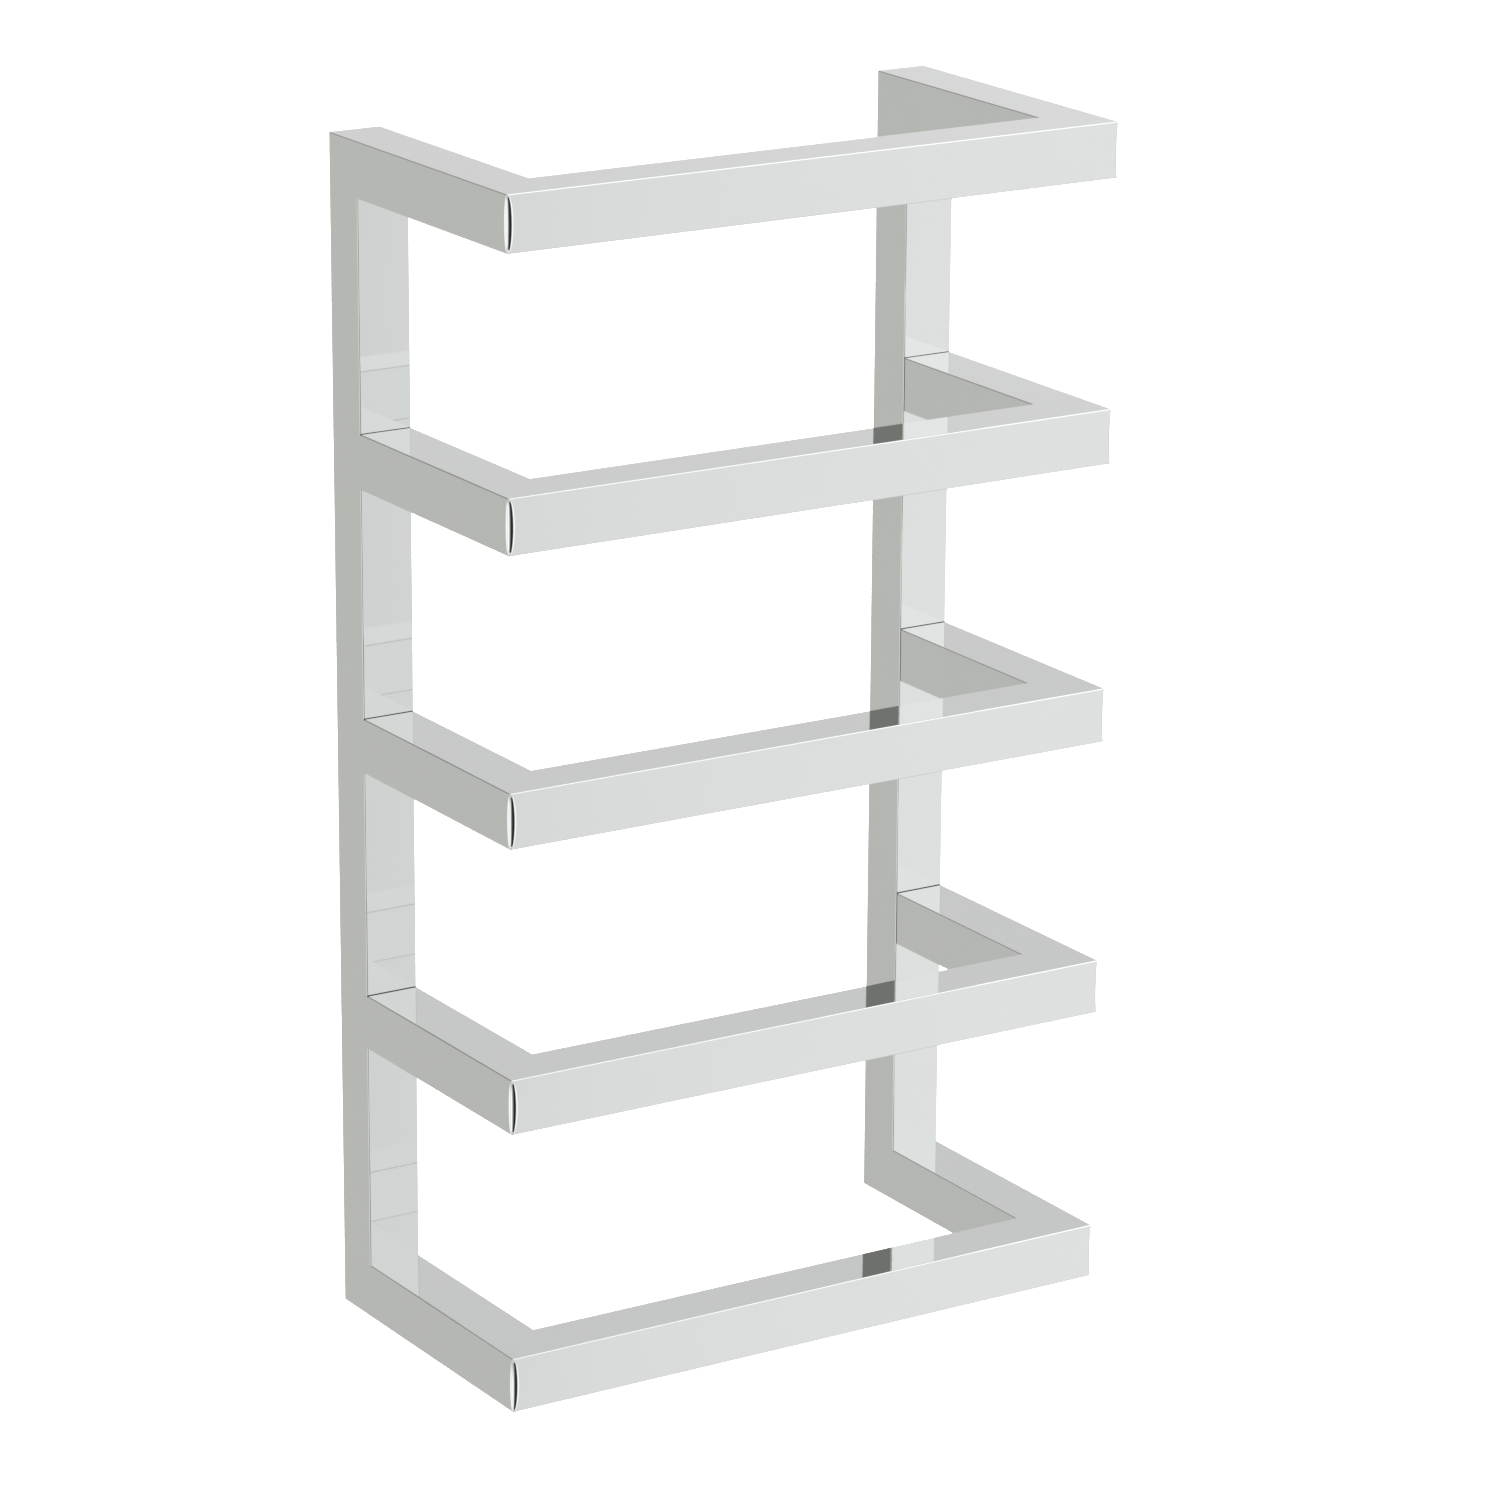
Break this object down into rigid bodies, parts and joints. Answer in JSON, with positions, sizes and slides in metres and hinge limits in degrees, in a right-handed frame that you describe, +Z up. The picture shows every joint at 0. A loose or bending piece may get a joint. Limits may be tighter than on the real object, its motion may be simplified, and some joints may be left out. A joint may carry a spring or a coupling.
{
  "type": "towel rack",
  "caption": "Wall-hung rack of polished square tube: two uprights carry evenly spaced U-shaped hoops that hold rolled or hanging towels, on concealed wall bosses.",
  "frame": {"origin": "centre of the four wall screw holes, on the wall plane, at mid-width and mid-height of the rack", "axes": "+Z up; +Y out of the back of the rack into the wall; +X to the right for a person who faces the rack"},
  "size_m": [0.245, 0.122, 0.43],
  "materials": {
    "polished_chrome": "mirror-polished chrome over welded and ground square tube",
    "turned_steel": "turned stainless steel, fine concentric tool marks",
    "screw_steel": "plain stainless steel set screw"
  },
  "bodies": {
    "root": {"left_upright": "polished_chrome", "right_upright": "polished_chrome", "hoop_1_front_bar": "polished_chrome", "hoop_1_left_arm": "polished_chrome", "hoop_1_right_arm": "polished_chrome", "hoop_2_front_bar": "polished_chrome", "hoop_2_left_arm": "polished_chrome", "hoop_2_right_arm": "polished_chrome", "hoop_3_front_bar": "polished_chrome", "hoop_3_left_arm": "polished_chrome", "hoop_3_right_arm": "polished_chrome", "hoop_4_front_bar": "polished_chrome", "hoop_4_left_arm": "polished_chrome", "hoop_4_right_arm": "polished_chrome", "hoop_5_front_bar": "polished_chrome", "hoop_5_left_arm": "polished_chrome", "hoop_5_right_arm": "polished_chrome", "upper_left_wall_boss": "turned_steel", "upper_right_wall_boss": "turned_steel", "lower_left_wall_boss": "turned_steel", "lower_right_wall_boss": "turned_steel", "grub_screws": "screw_steel"}
  },
  "joints": []
}
